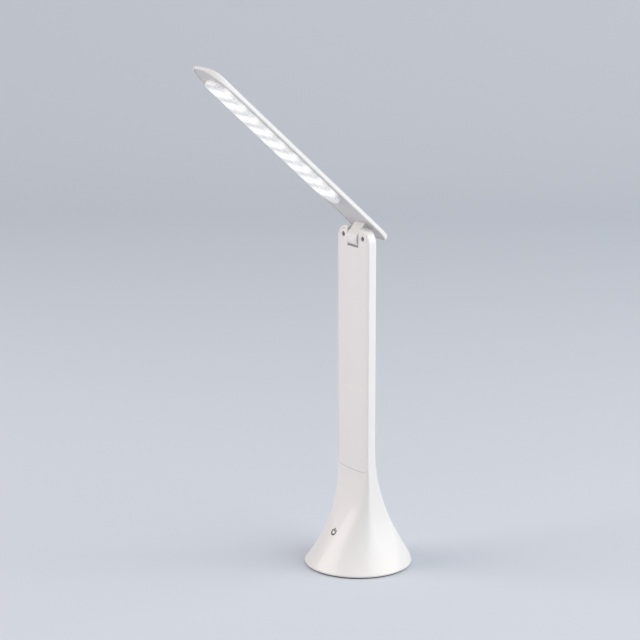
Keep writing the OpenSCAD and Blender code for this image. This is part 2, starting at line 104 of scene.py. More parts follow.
LIP = 2.3
COVER_T = 2.0
COVER_GAP = 0.12
COVER_HALF_W = STEM_W / 2 - LIP
COVER_BEVEL = 0.25
SCREW_X = 14.4
SCREW_Z = 295.7
SCREW_HOLE_R = 2.2
SCREW_SEAT = 3.1

# The recess runs out over RECESS_SIDE at each side. In the CAD it has the cover's full width.
RECESS_DEPTH = 1.0
RECESS_LOW = 161.0
RECESS_HIGH = 276.0
RECESS_SIDE = 7.0
RECESS_BORDER = 2.5

MARK_Z = 32.5
MARK_R = 2.6
MARK_STROKE = 1.45
MARK_LIFT = 0.05
MARK_GAP_DEG = 38
MARK_BAR = (0.3, 1.45)
MARK_SLOPE_SPAN = 3.0

# ---------- the hinge's and the head's sizes ----------

# Heights on the head are above its flat underside, which is HEAD_OFFSET from the hinge's axis.
AXIS_Z = 294.0
HEAD_SLOPE = 42.0
HEAD_OFFSET = 11.4
NOTCH_W = 16.2
NOTCH_FLOOR = 286.8
KNUCKLE_R = 6.6
PIN_BORE_R = 1.3
TONGUE_W = 14.8
TONGUE_GAP = 0.4
TONGUE_BEVEL = 0.6
NECK_TAIL = 3.0
FLANGE_LOW = 3.0
FLANGE_TOP = 4.6
FLANGE_W = 24.0
FLANGE_FRONT = 14.0
FLANGE_REAR = 6.0
FLANGE_CORNER = 2

HEAD_W = 44.2
HEAD_REACH = 223.0
HEAD_TAIL = 17.0
# A corner is a quarter of an ellipse, given by its radii across and along the head.
TIP_CORNER = (17.5, 39.6)
TAIL_CORNER = (10.7, 19.8)
# The crown falls to the side's height over a run at each end, in a curve blended with its own.
SIDE_H = 2.7
CROWN_H = 8.1
TIP_RUN = 28.7
TAIL_RUN = 25.0
CROWN_BLEND = 3
HEAD_EDGE_R = 1.1
HEAD_LIP_R = 0.45
RIM_W = 1.5
RIM_CHAMFER = 0.15
LEDGE_W = 1.2
SKIN = 1.5
# The skin's rings, as fractions of the way from the edge to the middle line.
CEILING_RINGS = (0.97, 0.7, 0.4, 0.2, 0.05, 0)
CROWN_RINGS = (0, 0.05, 0.1, 0.18, 0.28, 0.4, 0.55, 0.7, 0.85, 0.97)

UNDER_T = 1.6
UNDER_GAP = 0.1
UNDER_DROP = 0.6
UNDER_CUT = (-1.0, 3.0)
UNDER_BEVEL = 0.18
LENS_FROM = 38.5
LENS_TO = 206.5
LENS_W = 28.0
LENS_PROUD = 2.8
LENS_TIP_CORNER = (13.98, 9.0)
LENS_TAIL_CORNER = (13.98, 18.0)
LENS_WALL = 1.2
LENS_EDGE_R = 1.6
LENS_INNER_R = 1.1
LENS_HOLE_GAP = 0.1
LENS_SEAT_GAP = 0.02
LENS_FLANGE_W = 1.2
LENS_FLANGE_T = 1.0

# ---------- the lights in the head ----------

LED_FIRST = 55.8
LED_PITCH = 17.1
LED_PAIRS = 9
LED_ROW = 4.6
LED_STRENGTH = 3.0

# The lens's glow is painted light: the light of the LEDs behind it, painted on as emission in its
# material.
# The share of the distance from a row that counts, outside the rows and (negative) between them.
GLOW_OUTSIDE = 0.55
GLOW_BETWEEN = -0.95
# Noise adds up to the first of these to the distance, which blurs the painted glow, and a painted
# spot fades out from GLOW_NEAR to GLOW_FAR.
GLOW_NOISE_BLUR = 15.0
GLOW_NEAR = 8.2
GLOW_FAR = 15.5
SPOT_GLOW = 0.42
CLOUD_GLOW = (0.04, 0.25)
EDGE_GLOW = 0.12
# How far from the lens's edge its painted bright band starts and is full.
EDGE_BAND = (1.2, 0.2)

# ---------- camera ----------

FRAME_PX = 640
FOCAL_PX = 2371.3
SENSOR_MM = 36.0
VIEW_AZIMUTH = math.radians(55.0)
VIEW_YAW = math.radians(0.97)
VIEW_PITCH = math.radians(13.61)
# in metres, from the foot's middle
VIEW_REACH = 2.0013
VIEW_HEIGHT = 0.7054

camera_data = bpy.data.cameras.new("camera")
camera_data.sensor_width = SENSOR_MM
camera_data.lens = FOCAL_PX / FRAME_PX * SENSOR_MM
camera = bpy.data.objects.new("camera", camera_data)
bpy.context.scene.collection.objects.link(camera)
camera.location = (
    VIEW_REACH * math.sin(VIEW_AZIMUTH), -VIEW_REACH * math.cos(VIEW_AZIMUTH), VIEW_HEIGHT
)
camera.rotation_euler = (math.pi / 2 - VIEW_PITCH, 0, VIEW_AZIMUTH + VIEW_YAW)
bpy.context.scene.camera = camera


# ---------- mesh tools ----------


def build(name, verts, faces, material, body, sharp_deg=35, adds=(), cuts=(), soften=0.0):
    """A mesh piece from points in millimetres. adds and cuts are (verts, faces) solids joined to it
    and then taken out of it, and soften rounds the sharp edges that are left."""
    piece = new_piece(name, verts, faces)
    for operation, solids in (("UNION", adds), ("DIFFERENCE", cuts)):
        for solid in solids:
            tool = new_piece(f"{name}_tool", *solid)
            change = piece.modifiers.new("change", "BOOLEAN")
            change.operation = operation
            change.solver = "EXACT"
            change.object = tool
            bake_modifiers(piece)
            bpy.data.objects.remove(tool)
    if soften:
        bevel_sharp(piece.data, soften)
    piece.data.polygons.foreach_set("use_smooth", [True] * len(piece.data.polygons))
    piece.data.set_sharp_from_angle(angle=math.radians(sharp_deg))
    weighted = piece.modifiers.new("weighted", "WEIGHTED_NORMAL")
    weighted.keep_sharp = True
    bake_modifiers(piece)
    piece.data.materials.clear()
    piece.data.materials.append(material)
    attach(piece, body)
    return piece


def new_piece(name, verts, faces):
    mesh = bpy.data.meshes.new(name)
    mesh.from_pydata([Vector(v) * MM for v in verts], [], faces)
    clean(mesh)
    piece = bpy.data.objects.new(name, mesh)
    bpy.context.scene.collection.objects.link(piece)
    return piece


def clean(mesh):
    bm = bmesh.new()
    bm.from_mesh(mesh)
    bmesh.ops.remove_doubles(bm, verts=bm.verts, dist=1e-6)
    bmesh.ops.dissolve_degenerate(bm, edges=bm.edges, dist=1e-6)
    bmesh.ops.recalc_face_normals(bm, faces=bm.faces)
    bm.to_mesh(mesh)
    bm.free()


def bake_modifiers(piece):
    graph = bpy.context.evaluated_depsgraph_get()
    mesh = bpy.data.meshes.new_from_object(piece.evaluated_get(graph))
    piece.modifiers.clear()
    piece.data = mesh


def bevel_sharp(mesh, width, flat_deg=0.05, sharp_deg=40):
    flat, limit = math.radians(flat_deg), math.radians(sharp_deg)
    bm = bmesh.new()
    bm.from_mesh(mesh)
    bmesh.ops.dissolve_limit(bm, angle_limit=flat, verts=bm.verts, edges=bm.edges)
    sharp = [e for e in bm.edges if e.is_manifold and e.calc_face_angle(0) > limit]
    bmesh.ops.bevel(bm, geom=sharp, offset=width * MM, offset_type="OFFSET", segments=2,
                    profile=0.5, affect="EDGES", clamp_overlap=True)
    bm.to_mesh(mesh)
    bm.free()


def loft(rings):
    """Closed rings of equal length, skinned in order and capped at both ends."""
    n = len(rings[0])
    verts = [p for ring in rings for p in ring]
    faces = [
        (k * n + i, k * n + (i + 1) % n, (k + 1) * n + (i + 1) % n, (k + 1) * n + i)
        for k in range(len(rings) - 1)
        for i in range(n)
    ]
    faces.append(tuple(range(n))[::-1])
    faces.append(tuple((len(rings) - 1) * n + i for i in range(n)))
    return verts, faces


def prism(outline, place):
    """A straight solid: place(u, v, end) puts the outline's point at end 0 or 1."""
    return loft([[place(u, v, end) for u, v in outline] for end in (0, 1)])


def along_y(outline, y0, y1):
    return prism(outline, lambda u, v, end: (u, y1 if end else y0, v))


def along_x(outline, x0, x1):
    return prism(outline, lambda u, v, end: (x1 if end else x0, u, v))


def along_z(outline, z0, z1):
    return prism(outline, lambda u, v, end: (u, v, z1 if end else z0))


def box(low, high):
    (x0, y0, z0), (x1, y1, z1) = low, high
    return along_z([(x0, y0), (x1, y0), (x1, y1), (x0, y1)], z0, z1)


def arc(cx, cy, r, start, end, steps):
    angles = np.radians(np.linspace(start, end, steps + 1))
    return [(cx + r * math.cos(a), cy + r * math.sin(a)) for a in angles]


def circle(r, points):
    return arc(0, 0, r, 0, 360 - 360 / points, points - 1)


def plate(w, y0, y1, r, steps=12):
    """Outline from y0 to y1 with rounded corners, anticlockwise."""
    h = w / 2
    return (
        arc(h - r, y0 + r, r, -90, 0, steps)
        + arc(h - r, y1 - r, r, 0, 90, steps)
        + arc(-h + r, y1 - r, r, 90, 180, steps)
        + arc(-h + r, y0 + r, r, 180, 270, steps)
    )


def slot(half_w, r, steps=24):
    """Outline of a long hole with round ends, anticlockwise."""
    return arc(half_w - r, 0, r, -90, 90, steps) + arc(r - half_w, 0, r, 90, 270, steps)


def arch(half_w, top, r, steps=12, seam_points=25):
    """Round-topped outline above the bowed seam."""
    bow_r = (COVER_HALF_W**2 + SEAM_BOW**2) / (2 * SEAM_BOW)
    centre_z = SEAM_Z - SEAM_BOW + bow_r
    across = np.linspace(-half_w, half_w, seam_points)
    low = [(x, centre_z - math.sqrt(bow_r**2 - x * x)) for x in across]
    left, right = r - half_w, half_w - r
    return low + arc(right, top - r, r, 0, 90, steps) + arc(left, top - r, r, 90, 180, steps)


def long_outline(w, y0, y1, tip, tail, inset, steps=18):
    """Outline from y0 to y1 with elliptical corners, anticlockwise and drawn in by inset."""
    points = []
    for corner in range(4):
        sx = 1 if corner in (0, 3) else -1
        rx, ry = (r - inset for r in (tail if corner < 2 else tip))
        middle_y = y1 - inset - ry if corner < 2 else y0 + inset + ry
        for a in np.radians(np.linspace(90 * corner, 90 * corner + 90, steps + 1)):
            x = sx * (w / 2 - inset - rx) + rx * math.cos(a)
            points.append((x, middle_y + ry * math.sin(a)))
    return points


def even_out(edge, longest=9.0):
    """Adds points on long straight stretches, so that the skin stays smooth."""
    out = []
    for (x0, y0), (x1, y1) in zip(edge, edge[1:] + edge[:1]):
        pieces = max(1, math.ceil(math.hypot(x1 - x0, y1 - y0) / longest))
        for k in range(pieces):
            out.append((x0 + (x1 - x0) * k / pieces, y0 + (y1 - y0) * k / pieces))
    return out


def on_head(solid):
    """From the head's own frame, with -Y to the tip and +Z out of its top, to the lamp at rest."""
    verts, faces = solid
    turn = Matrix.Rotation(math.radians(-HEAD_SLOPE), 4, "X")
    return [Matrix.Translation((0, STEM_Y, AXIS_Z)) @ turn @ Vector(v) for v in verts], faces


# ---------- stand: its body in one skin, its front cover and the mark on its foot ----------


def bezier(a, b, c, d, t):
    return (1 - t) ** 3 * a + 3 * t * (1 - t) ** 2 * b + 3 * t * t * (1 - t) * c + t**3 * d


def reach(flare, z):
    """How far a flare's profile stands out at one height."""
    neck_reach, start_z, run, pull_reach, pull_z = flare
    t = np.linspace(0, 1, FLARE_SAMPLES)
    heights = bezier(start_z, start_z - run, pull_z, RIM_Z, t)
    reaches = bezier(neck_reach, neck_reach, pull_reach, FOOT_R, t)
    return float(np.interp(-z, -heights, reaches))


def foot_section(z, inset=(0, 0, 0), at=None, steps=16):
    """One level section of the foot: a bar with rounded corners at the neck, a circle at the rim.
    inset draws it in at the (side, front, back), and at is the height it is placed at."""
    half_w = reach(SIDE_FLARE, z) - inset[0]
    front = reach(FRONT_FLARE, z) - inset[1]
    back = reach(BACK_FLARE, z) - inset[2]
    middle, half_d = (back - front) / 2, (back + front) / 2
    back_drop = max(0, NECK_TOP - z) / (NECK_TOP - RIM_Z)
    front_drop = max(0, FRONT_START - z) / (FRONT_START - RIM_Z)
    back_turn = min(1, back_drop**BACK_ROUNDNESS)
    front_turn = min(1, 1 - (1 - front_drop) ** FRONT_ROUNDNESS)
    edge = max(EDGE_R / 2, EDGE_R - inset[0])
    ring = []
    for sx, sy, start in ((1, 1, 0), (-1, 1, 90), (-1, -1, 180), (1, -1, 270)):
        turn = back_turn if sy > 0 else front_turn
        rx = edge * (1 - turn) + half_w * turn
        ry = edge * (1 - turn) + half_d * turn
        for a in np.radians(np.linspace(start, start + 90, steps + 1)):
            x = sx * (half_w - rx) + rx * math.cos(a)
            y = middle + sy * (half_d - ry) + ry * math.sin(a)
            ring.append((x, y, z if at is None else at))
    return ring


def shoulder_section(z, steps=16):
    """One level section of the stem's top, which has a fillet of EDGE_R all round its outline."""
    up = max(0.0, z - SHOULDER_Z)
    left_over = STEM_TOP - z
    widest = math.pi / 2 if left_over >= EDGE_R else math.acos(1 - left_over / EDGE_R)
    centre_x = STEM_W / 2 - SHOULDER_R
    corner = []
    for a in np.linspace(0, widest, steps + 1):
        inset = EDGE_R * (1 - math.cos(a))
        across = math.sqrt(max(0.0, (SHOULDER_R - inset) ** 2 - up**2))
        corner.append((centre_x + across, STEM_D / 2 - EDGE_R * (1 - math.sin(a))))
    ring = []
    for sx, sy in ((1, 1), (-1, 1), (-1, -1), (1, -1)):
        for x, y in corner if sx == sy else corner[::-1]:
            ring.append((sx * x, STEM_Y + sy * y, z))
    return ring


def make_stand(material, shoulder_steps=8, fillet_steps=7):
    rings = []
    for i in range(CAVITY_STEPS + 1):
        z = NECK_TOP + (CAVITY_LOW - NECK_TOP) * (i / CAVITY_STEPS) ** CAVITY_CROWDING
        high = (z - RIM_Z) / (NECK_TOP - RIM_Z)
        rings.append(foot_section(z, [FOOT_WALL + growth * high for growth in NECK_GROWTH]))
    rings += [foot_section(RIM_Z, (inset,) * 3, z) for inset, z in RIM_PROFILE]
    for i in range(FLARE_STEPS + 1):
        z = RIM_Z + (FLARE_TOP - RIM_Z) * (i / FLARE_STEPS) ** FLARE_CROWDING
        rings.append(foot_section(z))
    rings += [foot_section(z) for z in NECK_LEVELS]
    rings += [shoulder_section(z) for z in (SHOULDER_Z - SHOULDER_RUN_IN, SHOULDER_Z)]
    fillet_z = STEM_TOP - EDGE_R
    top_turn = math.degrees(math.asin((fillet_z - SHOULDER_Z) / SHOULDER_R))
    for a in np.radians(np.linspace(0, top_turn, shoulder_steps + 1)[1:]):
        rings.append(shoulder_section(SHOULDER_Z + SHOULDER_R * math.sin(a)))
    for a in np.radians(np.linspace(0, 90, fillet_steps + 1)[1:]):
        rings.append(shoulder_section(fillet_z + EDGE_R * math.sin(a)))

    cover_back = FRONT_Y + COVER_T
    opening = arch(COVER_HALF_W, STEM_TOP - LIP, SHOULDER_R - LIP)
    pocket = along_y(opening, FRONT_Y - CLEAR, cover_back)
    port = along_y([(u, v + PORT_Z) for u, v in slot(PORT_HALF_W, PORT_HALF_H)], *PORT_CUT)
    channel = box((-CHANNEL_HALF_W, cover_back - CUT, CHANNEL_LOW),
                  (CHANNEL_HALF_W, BACK_Y - CHANNEL_WALL, NOTCH_FLOOR - CHANNEL_ROOF))
    seats = screw_holes(cover_back - CUT, FRONT_Y + SCREW_SEAT)
    return build("stand_body", *loft(rings), material, "stand",
                 cuts=(pocket, notch(), port, channel, *seats), soften=STAND_BEVEL)


def notch():
    """The room that the tongue turns in."""
    return box((-NOTCH_W / 2, FRONT_Y - CLEAR, NOTCH_FLOOR),
               (NOTCH_W / 2, BACK_Y + CLEAR, STEM_TOP + CLEAR))


def screw_holes(y0, y1):
    hole = circle(SCREW_HOLE_R, 48)
    return [along_y([(u + s * SCREW_X, v + SCREW_Z) for u, v in hole], y0, y1) for s in (-1, 1)]


def make_cover(material):
    outline = arch(COVER_HALF_W - COVER_GAP, STEM_TOP - LIP - COVER_GAP,
                   SHOULDER_R - LIP - COVER_GAP)
    # the gap at the seam, which is all of the outline that lies below the neck's top
    outline = [(x, z + COVER_GAP if z < NECK_TOP else z) for x, z in outline]
    panel = along_y(outline, FRONT_Y, FRONT_Y + COVER_T)
    holes = screw_holes(FRONT_Y - CUT, FRONT_Y + COVER_T + CUT)
    return build("front_cover", *panel, material, "stand", cuts=(finger_recess(), notch(), *holes),
                 soften=COVER_BEVEL)


def finger_recess():
    """Deepest at its lower edge, it runs out upwards and towards both sides."""
    half_w = COVER_HALF_W - COVER_GAP - RECESS_BORDER
    rows = ((half_w, 0, RECESS_LOW),
            (half_w - RECESS_SIDE, RECESS_DEPTH, RECESS_LOW + RECESS_DEPTH),
            (half_w, 0, RECESS_HIGH),
            (half_w, -CUT, RECESS_LOW),
            (half_w, -CUT, RECESS_HIGH))
    verts = [(s * x, FRONT_Y + depth, z) for x, depth, z in rows for s in (-1, 1)]
    faces = [(0, 1, 3, 2), (2, 3, 5, 4), (0, 2, 4), (1, 5, 3), (6, 8, 9, 7), (6, 7, 1, 0),
             (8, 4, 5, 9), (6, 0, 4, 8), (7, 9, 5, 1)]
    return verts, faces


def make_power_mark(material, ring_points=41, bar_points=5):
    """Plain power symbol laid on the foot's front."""
    edges = [MARK_R + s * MARK_STROKE / 2 for s in (-1, 1)]
    turns = np.linspace(90 + MARK_GAP_DEG, 450 - MARK_GAP_DEG, ring_points)
    ring = [[(r * math.cos(math.radians(a)), r * math.sin(math.radians(a))) for r in edges]
            for a in turns]
    heights = np.linspace(*MARK_BAR, bar_points) * MARK_R
    bar = [[(s * MARK_STROKE / 2, v) for s in (-1, 1)] for v in heights]
    low, high = (reach(FRONT_FLARE, MARK_Z + s * MARK_SLOPE_SPAN) for s in (-1, 1))
    slope = (low - high) / (2 * MARK_SLOPE_SPAN)
    tilt = math.sqrt(1 + slope**2)
    verts, faces = [], []
    for strip in (ring, bar):
        start = len(verts)
        for lift in (MARK_LIFT, -MARK_LIFT):
            for pair in strip:
                for u, v in pair:
                    z = MARK_Z + v / tilt
                    y = front_surface(u, z)
                    verts.append((u, y - lift / tilt, z + lift * slope / tilt))
        n = len(strip) * 2
        for k in range(len(strip) - 1):
            a, b, c, d = (start + 2 * k + i for i in (0, 1, 3, 2))
            faces += [(a, b, c, d), (a + n, d + n, c + n, b + n),
                      (a, d, d + n, a + n), (b, b + n, c + n, c)]
        last = start + n - 2
        faces.append((start, start + n, start + n + 1, start + 1))
        faces.append((last, last + 1, last + n + 1, last + n))
    return build("power_mark", verts, faces, material, "stand", sharp_deg=60)


def front_surface(x, z):
    """Y of the foot's front at a place near its middle."""
    ring = sorted(p for p in foot_section(z, steps=40) if p[1] < 0)
    return float(np.interp(x, [p[0] for p in ring], [p[1] for p in ring]))


# ---------- head and hinge ----------


def crown_height(x, y, drop=0.0):
    """Height of the head's top above its flat underside."""
    rise = CROWN_H - SIDE_H
    ball = ((HEAD_W / 2) ** 2 + rise**2) / (2 * rise)
    sag = ball - math.sqrt(max(0, ball**2 - x * x))
    for run, end in ((TIP_RUN, -HEAD_REACH + TIP_RUN - y), (TAIL_RUN, y - HEAD_TAIL + TAIL_RUN)):
        if end > 0:
            curve = (run**2 + rise**2) / (2 * rise)
            end_sag = curve - math.sqrt(max(0, curve**2 - end * end))
            sag = (sag**CROWN_BLEND + end_sag**CROWN_BLEND) ** (1 / CROWN_BLEND)
    return CROWN_H - drop - min(sag, rise)


def head_outline(inset):
    return long_outline(HEAD_W, -HEAD_REACH, HEAD_TAIL, TIP_CORNER, TAIL_CORNER, inset)


def head_rings(inset, fractions, height):
    """Rings of the head's outline, drawn in by inset and then, by each fraction of the way, to its
    middle line."""
    edge = even_out(head_outline(inset))
    rings = []
    for f in fractions:
        ring = []
        for x, y in edge:
            middle_y = min(max(y, -HEAD_REACH + TIP_CORNER[1]), HEAD_TAIL - TAIL_CORNER[1])
            px, py = x * (1 - f), y + (middle_y - y) * f
            ring.append((px, py, HEAD_OFFSET + height(px, py)))
        rings.append(ring)
    return rings


def level_ring(inset, height):
    return head_rings(inset, (0,), lambda x, y: height)


def make_head_shell(material):
    # the ceiling from the middle outwards, the ledge, the lip, the side's rounding and the crown
    ledge = RIM_W + LEDGE_W
    rings = head_rings(ledge, CEILING_RINGS, lambda x, y: crown_height(x, y, SKIN))
    for inset, height in ((ledge, UNDER_T), (RIM_W, UNDER_T), (RIM_W, RIM_CHAMFER),
                          (RIM_W - RIM_CHAMFER, 0)):
        rings += level_ring(inset, height)
    for a in np.radians((0, 30, 60, 90)):
        rings += level_ring(HEAD_LIP_R * (1 - math.sin(a)), HEAD_LIP_R * (1 - math.cos(a)))
    for a in np.radians((0, 15, 30, 45, 60, 75)):
        drop = HEAD_EDGE_R * (1 - math.sin(a))
        rings += head_rings(HEAD_EDGE_R * (1 - math.cos(a)), (0,),
                            lambda x, y: crown_height(x, y, drop))
    rings += head_rings(HEAD_EDGE_R, CROWN_RINGS, crown_height)
    return build("head_shell", *on_head(loft(rings)), material, "head", sharp_deg=40)


def make_under_panel(material):
    low, high = (HEAD_OFFSET + height for height in UNDER_CUT)
    edge = head_outline(RIM_W + UNDER_GAP)
    panel = along_z(edge, HEAD_OFFSET + UNDER_DROP, HEAD_OFFSET + UNDER_T)
    lens_hole = along_z(lens_outline(-LENS_HOLE_GAP), low, high)
    side = TONGUE_W / 2 + TONGUE_GAP
    tongue_hole = box((-side, -KNUCKLE_R - TONGUE_GAP, low), (side, NECK_TAIL + TONGUE_GAP, high))
    return build("under_panel", *on_head(panel), material, "head",
                 cuts=(on_head(lens_hole), on_head(tongue_hole)), soften=UNDER_BEVEL)


def lens_outline(inset):
    return even_out(
        long_outline(LENS_W, -LENS_TO, -LENS_FROM, LENS_TIP_CORNER, LENS_TAIL_CORNER, inset)
    )


def make_lens(material):
    def add(inset, height):
        rings.append([(x, y, HEAD_OFFSET + height) for x, y in lens_outline(inset)])

    def add_rounding(wall, r, angles):
        for a in np.radians(angles):
            add(wall + r * (1 - math.sin(a)), wall - LENS_PROUD + r * (1 - math.cos(a)))

    seat, top = UNDER_T + LENS_SEAT_GAP, UNDER_T + LENS_FLANGE_T
    rings = []
    add_rounding(LENS_WALL, LENS_INNER_R, np.linspace(0, 90, 5))
    add(LENS_WALL, top)
    add(-LENS_FLANGE_W, top)
    add(-LENS_FLANGE_W, seat)
    add(0, seat)
    add_rounding(0, LENS_EDGE_R, np.linspace(90, 0, 7))
    return build("lens", *on_head(loft(rings)), material, "head", sharp_deg=50)


def make_tongue(material, knuckle_steps=60):
    """Knuckle with its neck, as one extruded side view, and the flange that bolts to the head."""
    top = HEAD_OFFSET + FLANGE_TOP
    meets_neck = 360 + math.degrees(math.acos(NECK_TAIL / KNUCKLE_R))
    side = arc(0, 0, KNUCKLE_R, 180, meets_neck, knuckle_steps)
    side += [(NECK_TAIL, top), (-KNUCKLE_R, top)]
    half = TONGUE_W / 2
    neck = along_x(side, -half, half)
    flange = along_z(plate(FLANGE_W, -FLANGE_FRONT, FLANGE_REAR, FLANGE_CORNER),
                     HEAD_OFFSET + FLANGE_LOW, top)
    pin_bore = along_x(circle(PIN_BORE_R, 36), -half - CUT, half + CUT)
    return build("hinge_knuckle", *on_head(neck), material, "head", adds=(on_head(flange),),
                 cuts=(on_head(pin_bore),), soften=TONGUE_BEVEL)


# ---------- materials ----------

# Nearly all noise lies between these two.
NOISE_LOW = 0.3
NOISE_HIGH = 0.7
# The drift of a colour has this share of the grain's scale, so it is that much coarser.
DRIFT_SCALE = 0.06


def surface(name, colour, roughness, grain=0.0, scale=400.0, spread=0.02, metallic=0.0, coat=0.0,
            rough_spread=0.05):
    """A solid finish: the colour drifts slightly over the piece, the roughness is uneven at the
    scale of the grain, and the grain raises the surface."""
    material = bpy.data.materials.new(name)
    material.use_nodes = True
    tree = material.node_tree
    shader = tree.nodes["Principled BSDF"]
    shader.inputs["Metallic"].default_value = metallic
    shader.inputs["Coat Weight"].default_value = coat
    place = tree.nodes.new("ShaderNodeTexCoord")
    drift = tree.nodes.new("ShaderNodeTexNoise")
    drift.inputs["Scale"].default_value = scale * DRIFT_SCALE
    drift.inputs["Detail"].default_value = 3
    tree.links.new(place.outputs["Object"], drift.inputs["Vector"])
    tint = tree.nodes.new("ShaderNodeValToRGB")
    darkest, lightest = tint.color_ramp.elements
    darkest.position = NOISE_LOW
    lightest.position = NOISE_HIGH
    darkest.color = (*[c * (1 - spread) for c in colour], 1)
    lightest.color = (*[min(1, c * (1 + spread)) for c in colour], 1)
    tree.links.new(drift.outputs["Fac"], tint.inputs["Fac"])
    tree.links.new(tint.outputs["Color"], shader.inputs["Base Color"])
    fine = tree.nodes.new("ShaderNodeTexNoise")
    fine.inputs["Scale"].default_value = scale
    fine.inputs["Detail"].default_value = 4
    tree.links.new(place.outputs["Object"], fine.inputs["Vector"])
    rough = tree.nodes.new("ShaderNodeMapRange")
    rough.inputs["From Min"].default_value = NOISE_LOW
    rough.inputs["From Max"].default_value = NOISE_HIGH
    rough.inputs["To Min"].default_value = roughness - rough_spread
    rough.inputs["To Max"].default_value = roughness + rough_spread
    tree.links.new(fine.outputs["Fac"], rough.inputs["Value"])
    tree.links.new(rough.outputs["Result"], shader.inputs["Roughness"])
    if grain:
        bump = tree.nodes.new("ShaderNodeBump")
        bump.inputs["Strength"].default_value = 1.0
        bump.inputs["Distance"].default_value = grain * MM
        tree.links.new(fine.outputs["Fac"], bump.inputs["Height"])
        tree.links.new(bump.outputs["Normal"], shader.inputs["Normal"])
    return material


white = surface("white_shell", (0.80, 0.785, 0.77), 0.36, grain=0.004, scale=900, spread=0.006,
                coat=0.25)
panel_grey = surface("under_cover", (0.66, 0.64, 0.635), 0.42, grain=0.01, scale=1500, spread=0.01)
mark_grey = surface("mark", (0.05, 0.05, 0.055), 0.4, scale=1500)
board_white = surface("white_board", (0.80, 0.80, 0.79), 0.35, scale=800)
steel = surface("steel", (0.62, 0.63, 0.65), 0.32, grain=0.01, scale=1800, metallic=1.0)
# Near-black: partly the screws' own dark finish, partly painted shade of the holes they sit in.
dark_steel = surface("dark_steel", (0.02, 0.02, 0.022), 0.5, grain=0.01, scale=1800, metallic=0.4)
brass = surface("brass", (0.72, 0.52, 0.22), 0.3, grain=0.01, scale=1800, metallic=1.0)
iron = surface("iron", (0.18, 0.18, 0.185), 0.6, grain=0.08, scale=600, metallic=0.8)
rubber = surface("pad", (0.035, 0.035, 0.038), 0.75, grain=0.05, scale=1200)
green_board = surface("green_board", (0.03, 0.17, 0.07), 0.35, grain=0.02, scale=900)
inner_white = surface("inner_plastic", (0.6, 0.6, 0.59), 0.5, grain=0.02, scale=900)
battery_blue = surface("battery_wrap", (0.04, 0.14, 0.42), 0.25, grain=0.02, scale=300)
lead_grey = surface("lead", (0.27, 0.27, 0.28), 0.5, grain=0.02, scale=1500)


